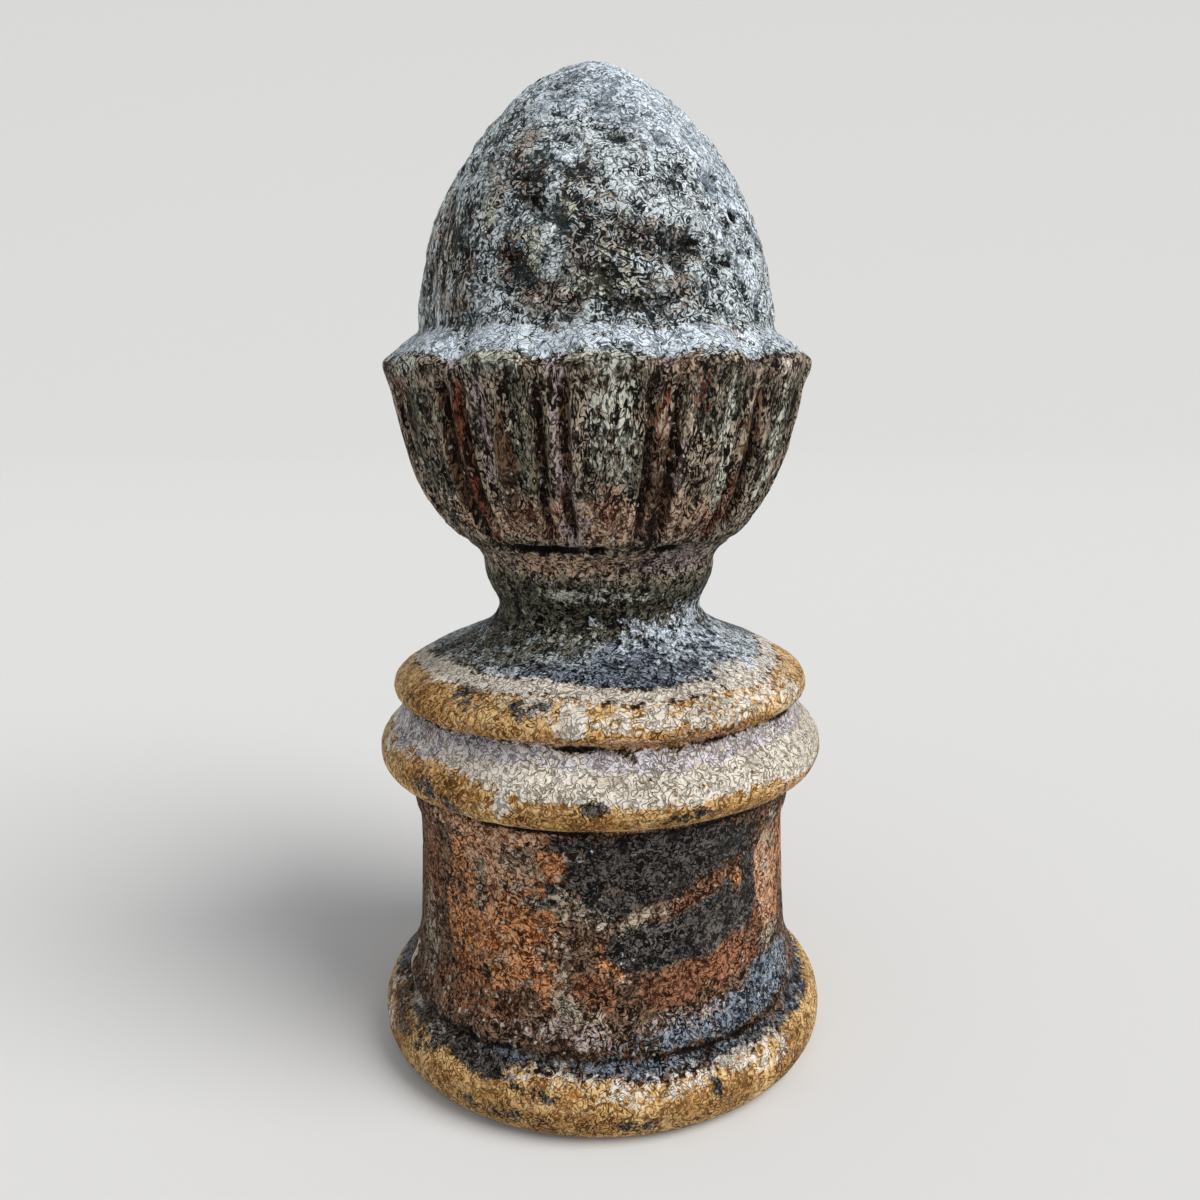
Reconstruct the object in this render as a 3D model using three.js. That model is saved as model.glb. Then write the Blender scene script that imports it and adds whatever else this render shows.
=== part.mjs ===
// Acorn finial, moulded in one piece: a round pedestal, a leafy cup and the acorn in it.
// Millimetres, +Z up. The origin is the middle of the flat underside and the front faces -Y.
// An azimuth is 0 at the front and grows towards +X.

import * as THREE from 'three';

// Base roll, cut flat where it stands
const BASE_ROLL_RADIUS = 100.6;
const BASE_ROLL_DEPTH = 13.6;
const BASE_ROLL_LOWER_HEIGHT = 15.5;
const BASE_ROLL_UPPER_HEIGHT = 15;
const UNDERSIDE_CUT_ANGLE = 75;

// Drum, with a fillet and a hollow curve at its foot and a flat band at its head
const BASE_FILLET_RADIUS = 88.9;
const BASE_FILLET_HEIGHT = 6;
const DRUM_FOOT_RADIUS = 83;
const DRUM_WAIST_RADIUS = 80.6;
const DRUM_HEAD_RADIUS = 80.9;
const CAVETTO_HEIGHT = 21.5;
const DRUM_HEIGHT = 48;
const BAND_RADIUS = 84;
const BAND_STEP_HEIGHT = 8.5;
const BAND_HEIGHT = 12.5;

// Two rolls with a cove between them
const LOWER_ROLL_RADIUS = 97.4;
const LOWER_ROLL_DEPTH = 10;
const LOWER_ROLL_LOWER_HEIGHT = 10;
const LOWER_ROLL_UPPER_HEIGHT = 11.5;
const COVE_RADIUS = 86.4;
const COVE_HEIGHT = 9.5;
const UPPER_ROLL_RADIUS = 90.6;
const UPPER_ROLL_DEPTH = 7;
const UPPER_ROLL_LOWER_HEIGHT = 5.5;
const UPPER_ROLL_UPPER_HEIGHT = 7;
const CREASE_HEIGHT = 1;

// Flaring foot, waist and neck ring of the cup
const FOOT_RADIUS = 74.6;
const FOOT_SLOPE_HEIGHT = 6.5;
const FOOT_HEIGHT = 20;
const WAIST_RADIUS = 43.3;
const NECK_RING_RADIUS = 49.4;
const NECK_RISE_HEIGHT = 16.5;
const NECK_RING_HEIGHT = 4;
const COLLAR_HEIGHT = 8.5;
const COLLAR_RADIUS = 57;

// Cup with its leaves
const CUP_SEAT_RADIUS = 60.4;
const CUP_SEAM_DEPTH = 1.8;
const CUP_SEAM_HEIGHT = 2;
const CUP_SHOULDER_RADIUS = 84.9;
const CUP_WALL_HEIGHT = 54;
const CUP_FLARE_HEIGHT = 15;
const CUP_RIM_RADIUS = 90;
const CUP_LIP_HEIGHT = 5;
const CUP_TOP_HEIGHT = 9.5;
const LEAF_COUNT = 12;
const LEAF_TURN = -12;
const LEAF_UNEVENNESS = 3.4;
const GROOVE_DEPTH = 4.2;
const GAP_RIB_DEPTH = 1.6;
const MIDRIB_HEIGHT = 1.3;
const FLUTE_DEPTH = 0.9;
const RIM_NOTCH_DEPTH = 5.5;
const RIM_NOTCH_DROP = 4.5;
const LEAF_TOP_SWELL = 1.8;

// Acorn
const ACORN_RADIUS = 73.9;
const ACORN_HEIGHT = 106;
const ACORN_STRAIGHTNESS = 0.46;
const ACORN_FULLNESS = 0.53;
const ACORN_TIP_DROP = 8;
const ACORN_TIP_LEAN = -1;

// Wear: how far the whole surface wavers, and the broad dents and swellings of the acorn,
// each as azimuth in degrees, share of the acorn's height, reach and depth in millimetres
const WAVER = 0.45;
const ACORN_WEAR = [
  [62, 0.72, 26, 2.2],
  [-88, 0.6, 9, 1.6],
  [-86, 0.44, 11, -1.2],
  [84, 0.66, 8, -1],
  [52, 0.5, 9, 2.4],
  [-34, 0.64, 12, 1.5],
  [2, 0.83, 9, 1.3],
  [30, 0.24, 12, 1.6],
  [-4, 0.17, 11, 1.4],
  [-38, 0.2, 12, 1.3],
  [150, 0.5, 20, 1.5],
  [-140, 0.3, 18, 1.4],
];

// How finely the rings are cut: places across one leaf, as shares of its pitch, with the rib
// of the gap at 0 and the midrib in the middle. Plain rings take every second one.
const LEAF_PLACES = [0, 0.12, 0.2, 0.35, 0.5, 0.65, 0.8, 0.88];
const FINE = LEAF_COUNT * LEAF_PLACES.length;
const PLAIN = FINE / 2;

const { degToRad, lerp, smoothstep } = THREE.MathUtils;
const point = (radius, height) => new THREE.Vector2(radius, height);

// One curve of the turned profile, cut into steps. Its carving says which form it carries.
function stroke(curve, steps, { rings = PLAIN, leafy = 0, form = 'plain' } = {}) {
  return { curve, steps, rings, leafy, form };
}

function straight(from, to) {
  return new THREE.LineCurve(from, to);
}

function hollow(from, corner, to) {
  return new THREE.QuadraticBezierCurve(from, corner, to);
}

// A quarter of a roll, or part of one, between two angles above the horizontal
function rollArc(middle, depth, height, fromAngle, toAngle) {
  const ends = [degToRad(fromAngle), degToRad(toAngle)];
  return new THREE.EllipseCurve(middle.x, middle.y, depth, height, ends[0], ends[1]);
}

// Heights of the pedestal's members, each standing on the one below
const baseRollMiddle = point(BASE_ROLL_RADIUS - BASE_ROLL_DEPTH, BASE_ROLL_LOWER_HEIGHT);
const baseRollTop = baseRollMiddle.y + BASE_ROLL_UPPER_HEIGHT;
const filletTop = baseRollTop + BASE_FILLET_HEIGHT;
const drumFoot = filletTop + CAVETTO_HEIGHT;
const drumHead = drumFoot + DRUM_HEIGHT;
const bandFoot = drumHead + BAND_STEP_HEIGHT;
const bandTop = bandFoot + BAND_HEIGHT;
const lowerRollMiddle = point(LOWER_ROLL_RADIUS - LOWER_ROLL_DEPTH, bandTop + LOWER_ROLL_LOWER_HEIGHT);
const lowerRollTop = lowerRollMiddle.y + LOWER_ROLL_UPPER_HEIGHT;
const coveTop = lowerRollTop + COVE_HEIGHT;
const upperRollMiddle = point(
  UPPER_ROLL_RADIUS - UPPER_ROLL_DEPTH,
  coveTop + CREASE_HEIGHT + UPPER_ROLL_LOWER_HEIGHT,
);

function pedestal() {
  const underCut = Math.sin(degToRad(UNDERSIDE_CUT_ANGLE));
  const baseLower = BASE_ROLL_LOWER_HEIGHT / underCut;
  const base = rollArc(baseRollMiddle, BASE_ROLL_DEPTH, baseLower, -UNDERSIDE_CUT_ANGLE, 0);
  const baseUpper = rollArc(baseRollMiddle, BASE_ROLL_DEPTH, BASE_ROLL_UPPER_HEIGHT, 0, 90);
  const fillet = straight(
    point(BASE_FILLET_RADIUS, baseRollTop + CREASE_HEIGHT),
    point(BASE_FILLET_RADIUS, filletTop),
  );
  const cavetto = hollow(
    fillet.v2,
    point(DRUM_FOOT_RADIUS + 0.6, filletTop + CAVETTO_HEIGHT * 0.35),
    point(DRUM_FOOT_RADIUS, drumFoot),
  );
  const drum = new THREE.CubicBezierCurve(
    cavetto.v2,
    point(lerp(DRUM_FOOT_RADIUS, DRUM_WAIST_RADIUS, 0.3), lerp(drumFoot, drumHead, 0.35)),
    point(DRUM_WAIST_RADIUS, lerp(drumFoot, drumHead, 0.75)),
    point(DRUM_HEAD_RADIUS, drumHead),
  );
  const bandStep = hollow(
    drum.v3,
    point(lerp(DRUM_HEAD_RADIUS, BAND_RADIUS, 0.3), lerp(drumHead, bandFoot, 0.55)),
    point(BAND_RADIUS, bandFoot),
  );
  return [
    stroke(base, 4),
    stroke(baseUpper, 4),
    stroke(fillet, 1),
    stroke(cavetto, 4),
    stroke(drum, 3),
    stroke(bandStep, 2),
    stroke(straight(bandStep.v2, point(BAND_RADIUS, bandTop - CREASE_HEIGHT)), 1),
  ];
}

// The rolls over the drum. The upper one slopes back to the cup's foot.
function rolls() {
  const coveStart = 60;
  const slopeStart = 62;
  const lowerUpper = rollArc(lowerRollMiddle, LOWER_ROLL_DEPTH, LOWER_ROLL_UPPER_HEIGHT, 0, coveStart);
  const coveFoot = lowerUpper.getPoint(1);
  const cove = hollow(
    coveFoot,
    point(lerp(COVE_RADIUS, coveFoot.x, 0.2), lerp(coveFoot.y, coveTop, 0.32)),
    point(COVE_RADIUS, coveTop),
  );
  const upperUpper = rollArc(upperRollMiddle, UPPER_ROLL_DEPTH, UPPER_ROLL_UPPER_HEIGHT, 0, slopeStart);
  return [
    stroke(rollArc(lowerRollMiddle, LOWER_ROLL_DEPTH, LOWER_ROLL_LOWER_HEIGHT, -90, 0), 4),
    stroke(lowerUpper, 3),
    stroke(cove, 3),
    stroke(rollArc(upperRollMiddle, UPPER_ROLL_DEPTH, UPPER_ROLL_LOWER_HEIGHT, -90, 0), 3),
    stroke(upperUpper, 3),
  ];
}

const footEdge = upperRollMiddle.y + UPPER_ROLL_UPPER_HEIGHT + FOOT_SLOPE_HEIGHT;
const waist = footEdge + FOOT_HEIGHT;
const neckRing = waist + NECK_RISE_HEIGHT;
const collarFoot = neckRing + NECK_RING_HEIGHT;
const collarTop = collarFoot + COLLAR_HEIGHT;
const cupSeat = collarTop + CUP_SEAM_HEIGHT;
const cupFlare = cupSeat + CUP_WALL_HEIGHT;
const cupRim = cupFlare + CUP_FLARE_HEIGHT;
const cupLip = cupRim + CUP_LIP_HEIGHT;
const acornSeat = cupLip + CUP_TOP_HEIGHT;
const acornTip = acornSeat + ACORN_HEIGHT;

function neck() {
  const foot = new THREE.CubicBezierCurve(
    point(FOOT_RADIUS, footEdge),
    point(lerp(FOOT_RADIUS, WAIST_RADIUS, 0.46), lerp(footEdge, waist, 0.28)),
    point(lerp(FOOT_RADIUS, WAIST_RADIUS, 0.985), lerp(footEdge, waist, 0.5)),
    point(WAIST_RADIUS, waist),
  );
  const rise = new THREE.CubicBezierCurve(
    foot.v3,
    point(WAIST_RADIUS, lerp(waist, neckRing, 0.3)),
    point(NECK_RING_RADIUS, lerp(waist, neckRing, 0.55)),
    point(NECK_RING_RADIUS, neckRing),
  );
  const collar = hollow(
    point(NECK_RING_RADIUS, collarFoot),
    point(lerp(NECK_RING_RADIUS, COLLAR_RADIUS, 0.12), lerp(collarFoot, collarTop, 0.5)),
    point(COLLAR_RADIUS, collarTop),
  );
  return [
    stroke(foot, 6),
    stroke(rise, 4),
    stroke(straight(rise.v3, collar.v0), 1),
    stroke(collar, 3, { leafy: 0.5 }),
  ];
}

function cup() {
  const leaves = { rings: FINE, leafy: 1 };
  const wall = new THREE.CubicBezierCurve(
    point(CUP_SEAT_RADIUS, cupSeat),
    point(lerp(CUP_SEAT_RADIUS, CUP_SHOULDER_RADIUS, 0.5), lerp(cupSeat, cupFlare, 0.2)),
    point(lerp(CUP_SEAT_RADIUS, CUP_SHOULDER_RADIUS, 0.8), lerp(cupSeat, cupFlare, 0.54)),
    point(CUP_SHOULDER_RADIUS, cupFlare),
  );
  const flare = hollow(
    wall.v3,
    point(lerp(CUP_SHOULDER_RADIUS, CUP_RIM_RADIUS, 0.22), lerp(cupFlare, cupRim, 0.45)),
    point(CUP_RIM_RADIUS, cupRim),
  );
  const lip = hollow(
    flare.v2,
    point(CUP_RIM_RADIUS + 0.5, lerp(cupRim, cupLip, 0.75)),
    point(CUP_RIM_RADIUS - 2.5, cupLip),
  );
  const top = hollow(
    lip.v2,
    point(lerp(ACORN_RADIUS, CUP_RIM_RADIUS, 0.42), lerp(cupLip, acornSeat, 0.3)),
    point(ACORN_RADIUS, acornSeat),
  );
  const seamBack = point(COLLAR_RADIUS - CUP_SEAM_DEPTH, lerp(collarTop, cupSeat, 0.5));
  return [
    stroke(straight(seamBack, seamBack), 0, { ...leaves, form: 'seam' }),
    stroke(wall, 7, { ...leaves, form: 'wall' }),
    stroke(flare, 3, { ...leaves, form: 'flare' }),
    stroke(lip, 2, { ...leaves, form: 'lip' }),
    stroke(top, 3, { ...leaves, form: 'top' }),
  ];
}

function acorn() {
  const side = new THREE.CubicBezierCurve(
    point(ACORN_RADIUS, acornSeat),
    point(ACORN_RADIUS, lerp(acornSeat, acornTip, ACORN_STRAIGHTNESS)),
    point(ACORN_RADIUS * ACORN_FULLNESS, acornTip - ACORN_TIP_DROP),
    point(0, acornTip),
  );
  return [stroke(side, 14, { form: 'acorn' })];
}

// Azimuth of a leaf gap: the leaves were set by hand, so their pitch is a little uneven
function gapAzimuth(gap) {
  const even = (360 / LEAF_COUNT) * gap;
  const jitter = 0.8 * Math.sin(gap * 2.4);
  return degToRad(even + LEAF_TURN - LEAF_UNEVENNESS * Math.sin(degToRad(even)) + jitter);
}

// Azimuth of one of the FINE places, evenly spread where leafy is 0 and set by the leaves at 1
function placeAzimuth(place, leafy) {
  const gap = Math.floor(place / LEAF_PLACES.length);
  const across = LEAF_PLACES[place % LEAF_PLACES.length];
  const even = degToRad(LEAF_TURN) + (2 * Math.PI * place) / FINE;
  return lerp(even, lerp(gapAzimuth(gap), gapAzimuth(gap + 1), across), leafy);
}

// Section across a leaf: the rib of the gap, its groove, the leaf's edge, a flute and the midrib
function leafSection(place) {
  const half = LEAF_PLACES.length / 2;
  const step = place % LEAF_PLACES.length;
  const fromGap = step > half ? LEAF_PLACES.length - step : step;
  return [-GAP_RIB_DEPTH, -GROOVE_DEPTH, 0, -FLUTE_DEPTH, MIDRIB_HEIGHT][fromGap];
}

// How much a place belongs to the gap between two leaves, from 0 on the leaf to 1 in the gap
function gapShare(place) {
  const across = LEAF_PLACES[place % LEAF_PLACES.length];
  return 1 - smoothstep(Math.min(across, 1 - across), 0.04, 0.3);
}

// Carving of the cup as an outward and an upward move, along being the share of the stroke
function leafCarving(form, along, place) {
  const gap = gapShare(place);
  if (form === 'wall') {
    const fade = smoothstep(along, -0.12, 0.3);
    return [leafSection(place) * fade, 0];
  }
  if (form === 'flare') {
    const outward = lerp(leafSection(place), -RIM_NOTCH_DEPTH * gap, along);
    return [outward, -RIM_NOTCH_DROP * gap * along * 0.6];
  }
  if (form === 'lip') {
    return [-RIM_NOTCH_DEPTH * gap, -RIM_NOTCH_DROP * gap * lerp(0.6, 1, along)];
  }
  if (form === 'top') {
    const swell = LEAF_TOP_SWELL * (1 - gap) * Math.sin(Math.PI * along);
    const valley = (1 - along) * (1 - along * 0.5);
    return [-RIM_NOTCH_DEPTH * gap * valley, swell - RIM_NOTCH_DROP * gap * valley];
  }
  return [0, 0];
}

// Broad dents and swellings of the acorn, as an inward move
function acornWear(azimuth, height) {
  let depth = 0;
  for (const [turn, share, reach, most] of ACORN_WEAR) {
    const aside = Math.sin((azimuth - degToRad(turn)) / 2) * 2 * ACORN_RADIUS;
    const above = height - lerp(acornSeat, acornTip, share);
    depth += most * Math.exp(-(aside * aside + above * above) / (reach * reach));
  }
  return depth;
}

// Slow unevenness of a surface that was pressed in a mould and painted many times
function waver(azimuth, height) {
  const slow = Math.sin(2 * azimuth + height * 0.021 + 1.1) + 0.6 * Math.sin(3 * azimuth - height * 0.034);
  const quick = 0.5 * Math.sin(5 * azimuth + height * 0.057 + 2.3);
  return (WAVER * (slow + quick)) / 2.1;
}

// One ring of the surface: its points from azimuth to azimuth, and how many there are
function ring(part, along) {
  const middle = part.curve.getPoint(along);
  const stride = FINE / part.rings;
  const points = [];
  for (let place = 0; place < FINE; place += stride) {
    const azimuth = placeAzimuth(place, part.leafy);
    const [outward, upward] = leafCarving(part.form, along, place);
    const worn = part.form === 'acorn' ? acornWear(azimuth, middle.y) : 0;
    const standing = smoothstep(middle.y, 0, BASE_ROLL_LOWER_HEIGHT);
    const radius = middle.x + outward + standing * waver(azimuth, middle.y) - worn * Math.min(1, middle.x / 20);
    const lean = part.form === 'acorn' ? ACORN_TIP_LEAN * along * along : 0;
    points.push([radius * Math.sin(azimuth) + lean, -radius * Math.cos(azimuth), middle.y + upward]);
  }
  return points;
}

// All rings from the underside to the tip. A stroke that starts where the last one ended shares its ring.
function finialRings() {
  const rings = [];
  let last = null;
  for (const part of [...pedestal(), ...rolls(), ...neck(), ...cup(), ...acorn()]) {
    const start = part.curve.getPoint(0);
    const joined = last !== null && last.distanceTo(start) < 0.01 && part.rings === rings.at(-1).length;
    for (let step = joined ? 1 : 0; step <= part.steps; step += 1) {
      const along = part.steps === 0 ? 0 : step / part.steps;
      const isTip = part.curve.getPoint(along).x < 0.01;
      if (!isTip) rings.push(ring(part, along));
    }
    last = part.curve.getPoint(1);
  }
  return rings;
}

// Joins two rings with triangles. A ring may have twice as many points as its neighbour.
function joinRings(low, high, triangles) {
  const count = Math.min(low.length, high.length);
  const lowStride = low.length / count;
  const highStride = high.length / count;
  for (let i = 0; i < count; i += 1) {
    const a = low[i * lowStride];
    const b = low[((i + 1) * lowStride) % low.length];
    const c = high[i * highStride];
    const d = high[((i + 1) * highStride) % high.length];
    if (lowStride === 2) {
      const middle = low[i * 2 + 1];
      triangles.push(a, middle, c, middle, d, c, middle, b, d);
    } else if (highStride === 2) {
      const middle = high[i * 2 + 1];
      triangles.push(a, middle, c, a, b, middle, b, d, middle);
    } else {
      triangles.push(a, b, d, a, d, c);
    }
  }
}

// Closes a ring with a fan round its middle
function closeRing(rim, middle, upward, triangles) {
  rim.forEach((corner, i) => {
    const next = rim[(i + 1) % rim.length];
    triangles.push(...(upward ? [corner, next, middle] : [next, corner, middle]));
  });
}

function finialGeometry() {
  const rings = finialRings();
  const points = rings.flat();
  let next = 0;
  const numbered = rings.map((corners) => corners.map(() => next++));
  const underside = points.push([0, 0, 0]) - 1;
  const tip = points.push([ACORN_TIP_LEAN, 0, acornTip]) - 1;
  const triangles = [];
  closeRing(numbered[0], underside, false, triangles);
  for (let i = 1; i < numbered.length; i += 1) {
    joinRings(numbered[i - 1], numbered[i], triangles);
  }
  closeRing(numbered.at(-1), tip, true, triangles);
  const geometry = new THREE.BufferGeometry();
  geometry.setAttribute('position', new THREE.Float32BufferAttribute(points.flat(), 3));
  geometry.setIndex(triangles);
  geometry.computeVertexNormals();
  return geometry;
}

const weatheredTerracotta = new THREE.MeshStandardMaterial({ color: 0x6b5d48, roughness: 0.75, metalness: 0 });

const finial = new THREE.Mesh(finialGeometry(), weatheredTerracotta);
finial.name = 'acorn_finial';

const model = new THREE.Group();
model.add(finial);

export default model;
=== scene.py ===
# Acorn finial: the worn relief and the old paint of a moulded terracotta finial
import math
import random
from collections import namedtuple

import bmesh
import bpy
import numpy as np
from mathutils import Matrix, Vector, noise


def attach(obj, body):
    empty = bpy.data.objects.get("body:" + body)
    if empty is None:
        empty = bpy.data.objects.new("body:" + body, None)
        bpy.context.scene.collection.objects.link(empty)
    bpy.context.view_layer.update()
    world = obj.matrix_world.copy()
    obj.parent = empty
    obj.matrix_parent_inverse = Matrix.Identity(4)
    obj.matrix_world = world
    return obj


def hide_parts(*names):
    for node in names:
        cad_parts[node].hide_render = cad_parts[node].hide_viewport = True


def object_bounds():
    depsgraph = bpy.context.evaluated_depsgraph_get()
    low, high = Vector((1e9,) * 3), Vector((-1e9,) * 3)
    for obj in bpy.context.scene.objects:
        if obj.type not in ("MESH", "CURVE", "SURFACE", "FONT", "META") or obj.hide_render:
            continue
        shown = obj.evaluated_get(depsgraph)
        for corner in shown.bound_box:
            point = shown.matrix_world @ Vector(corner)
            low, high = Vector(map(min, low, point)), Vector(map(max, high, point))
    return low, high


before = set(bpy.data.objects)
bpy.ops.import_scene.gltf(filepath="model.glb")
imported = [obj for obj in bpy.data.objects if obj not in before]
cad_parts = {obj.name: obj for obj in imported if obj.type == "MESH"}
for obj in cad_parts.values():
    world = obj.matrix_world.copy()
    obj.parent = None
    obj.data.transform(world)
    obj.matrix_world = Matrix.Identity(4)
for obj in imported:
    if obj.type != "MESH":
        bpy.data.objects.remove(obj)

cad_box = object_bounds()

MM = 0.001

# Camera, as the finial was photographed: close by, a little above its middle
CAMERA_PLACE = Vector((0.0003, -0.475, 0.292))
CAMERA_PITCH = math.radians(11.2)
CAMERA_ROLL = math.radians(-0.49)
CAMERA_LENS = 33
CAMERA_SENSOR = 36
CAMERA_NEAREST = 10 * MM

# Heights in millimetres of the members of the finial, from the floor
COVE_FOOT = 147.5
COVE_TOP = 158.0
FOOT_EDGE = 178.0
NECK_RING = 214.5
COLLAR_TOP = 227.0
CUP_SEAT = 229.0
CUP_RIM = 298.0
CUP_LIP = 303.0
ACORN_SEAT = 312.5
ACORN_TIP = 418.5

# Leaves of the cup, as the solid sets them
LEAF_COUNT = 12
LEAF_TURN = -12.0
LEAF_UNEVENNESS = 3.4
LEAF_JITTER = 0.8

# The even skin that the relief is worked into
SKIN_GRID = 1.25 * MM
SKIN_FACES = 190000
SMALLEST_EDGE = 0.01 * MM
CREASE_ANGLE = math.radians(32)
CREASE_SHARPNESS = 0.7
ROUNDINGS = 2


def place_camera():
    bpy.ops.object.camera_add(location=CAMERA_PLACE)
    camera = bpy.context.object
    turn = Matrix.Rotation(math.pi / 2 - CAMERA_PITCH, 4, "X") @ Matrix.Rotation(CAMERA_ROLL, 4, "Z")
    camera.rotation_euler = turn.to_euler()
    camera.data.lens = CAMERA_LENS
    camera.data.sensor_width = CAMERA_SENSOR
    camera.data.clip_start = CAMERA_NEAREST
    bpy.context.scene.camera = camera


def deselect_all():
    bpy.ops.object.select_all(action="DESELECT")


def select_only(piece):
    deselect_all()
    piece.select_set(True)
    bpy.context.view_layer.objects.active = piece


def finish_with(piece, kind, **settings):
    """Adds a modifier to the piece and applies it."""
    select_only(piece)
    modifier = piece.modifiers.new(kind.title(), kind)
    for name, value in settings.items():
        setattr(modifier, name, value)
    bpy.ops.object.modifier_apply(modifier=modifier.name)


def smooth_step(value, low, high):
    share = np.clip((value - low) / (high - low), 0.0, 1.0)
    return share * share * (3 - 2 * share)


def degrees_apart(turns, middle):
    """Signed degrees from one azimuth to the others."""
    return (turns - middle + 180) % 360 - 180


class Skin:
    """Where each vertex of the piece lies on the finial, in millimetres and degrees."""

    def __init__(self, piece):
        places = np.empty(len(piece.data.vertices) * 3)
        piece.data.vertices.foreach_get("co", places)
        self.points = places.reshape(-1, 3) / MM
        self.height = self.points[:, 2]
        self.radius = np.hypot(self.points[:, 0], self.points[:, 1])
        # Azimuth 0 is the front, and it grows to the right
        self.azimuth = np.degrees(np.arctan2(self.points[:, 0], -self.points[:, 1]))

    def grain(self, size, octaves=3, stretch=1.0):
        """Noise of about -1 to 1, its blots about size millimetres across, drawn out upwards by stretch."""
        scaled = self.points / (np.array((1, 1, stretch)) * size)
        return np.array([noise.fractal(point, 1.0, 2.0, octaves) for point in scaled.tolist()])

    def aside(self, turn):
        """Millimetres round the surface from an azimuth."""
        return np.radians(degrees_apart(self.azimuth, turn)) * self.radius

    def between(self, low, high, edge):
        """1 between two heights, fading out over edge millimetres."""
        rise = smooth_step(self.height, low - edge, low + edge)
        return rise * (1 - smooth_step(self.height, high - edge, high + edge))


def gap_azimuths():
    """Azimuths of the gaps between the leaves."""
    gaps = []
    for gap in range(LEAF_COUNT):
        even = 360 / LEAF_COUNT * gap
        unevenness = LEAF_UNEVENNESS * math.sin(math.radians(even))
        gaps.append(even + LEAF_TURN - unevenness + LEAF_JITTER * math.sin(gap * 2.4))
    return gaps


def rough_out():
    """A copy of the solid, its facets rounded off, as one even skin."""
    deselect_all()
    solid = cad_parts["acorn_finial"]
    piece = solid.copy()
    piece.data = solid.data.copy()
    piece.name = "weathered_finial"
    piece.data.name = "weathered_finial"
    bpy.context.collection.objects.link(piece)
    piece.parent = None
    piece.matrix_world = Matrix.Identity(4)
    piece.data.materials.clear()
    select_only(piece)
    bpy.ops.object.mode_set(mode="EDIT")
    bpy.ops.mesh.select_all(action="SELECT")
    bpy.ops.mesh.remove_doubles(threshold=SMALLEST_EDGE)
    bpy.ops.mesh.tris_convert_to_quads(face_threshold=math.radians(50), shape_threshold=math.radians(60))
    bpy.ops.mesh.select_all(action="DESELECT")
    bpy.ops.mesh.edges_select_sharp(sharpness=CREASE_ANGLE)
    bpy.ops.transform.edge_crease(value=CREASE_SHARPNESS)
    bpy.ops.object.mode_set(mode="OBJECT")
    finish_with(piece, "SUBSURF", levels=ROUNDINGS, render_levels=ROUNDINGS)
    finish_with(piece, "REMESH", mode="VOXEL", voxel_size=SKIN_GRID, adaptivity=0.0)
    return piece


# How far, in millimetres, the line of a gap wanders to each side
GAP_WANDER = 1.2


def from_gap(skin):
    """Millimetres from the nearest gap between two leaves, wandering a little on the way down."""
    nearest = np.full(len(skin.height), 1e9)
    for gap in gap_azimuths():
        away = skin.aside(gap)
        nearest = np.where(np.abs(away) < np.abs(nearest), away, nearest)
    return nearest + GAP_WANDER * skin.grain(30, 2)


def leaf_pitch(skin):
    return 2 * math.pi / LEAF_COUNT * skin.radius


# Where the groove and the flute lie, as shares of a leaf's width from its gap, then their half widths and
# depths in millimetres
GROOVE_PLACE = 0.12
GROOVE_WIDE = 1.5
GROOVE_DEPTH = 1.9
FLUTE_PLACE = 0.31
FLUTE_WIDE = 2.6
FLUTE_DEPTH = 0.8


def leaf_grooves(skin):
    """Inward depth of the twin grooves beside each gap's rib, and of the flutes on the leaves."""
    across = np.abs(from_gap(skin))
    groove = np.exp(-(((across - GROOVE_PLACE * leaf_pitch(skin)) / GROOVE_WIDE) ** 2))
    flute = np.exp(-(((across - FLUTE_PLACE * leaf_pitch(skin)) / FLUTE_WIDE) ** 2))
    on_wall = skin.between(CUP_SEAT + 3, CUP_RIM - 6, 5)
    ragged = 0.75 + 0.5 * skin.grain(14, 2, stretch=3)
    return on_wall * ragged * (GROOVE_DEPTH * groove + FLUTE_DEPTH * flute)


# A dent's azimuth and height, then its half width, half height and depth in millimetres
Dent = namedtuple("Dent", "turn height wide high depth")

PITS = [
    Dent(52.8, 368.5, 1.6, 2.2, 3.0),
    Dent(49.5, 366.5, 1.3, 2.6, 2.4),
    Dent(45.8, 362.1, 2.2, 2.0, 2.2),
    Dent(53.6, 353.2, 2.6, 2.4, 4.5),
    Dent(52.4, 348.0, 1.1, 4.5, 2.0),
    Dent(51.0, 341.0, 1.4, 2.0, 1.4),
    Dent(25.5, 378.5, 1.3, 2.4, 2.0),
    Dent(20.0, 343.5, 1.2, 4.5, 2.2),
    Dent(23.5, 338.5, 1.3, 1.6, 1.6),
    Dent(40.0, 336.0, 4.5, 2.6, 1.4),
    Dent(9.5, 378.0, 3.0, 1.2, 1.2),
    Dent(-34.0, 366.0, 1.2, 2.0, 1.4),
    Dent(-140.0, 370.0, 1.8, 2.2, 3.0),
    Dent(160.0, 345.0, 2.0, 1.6, 2.6),
    Dent(118.0, 384.0, 1.4, 2.6, 2.4),
]

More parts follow.
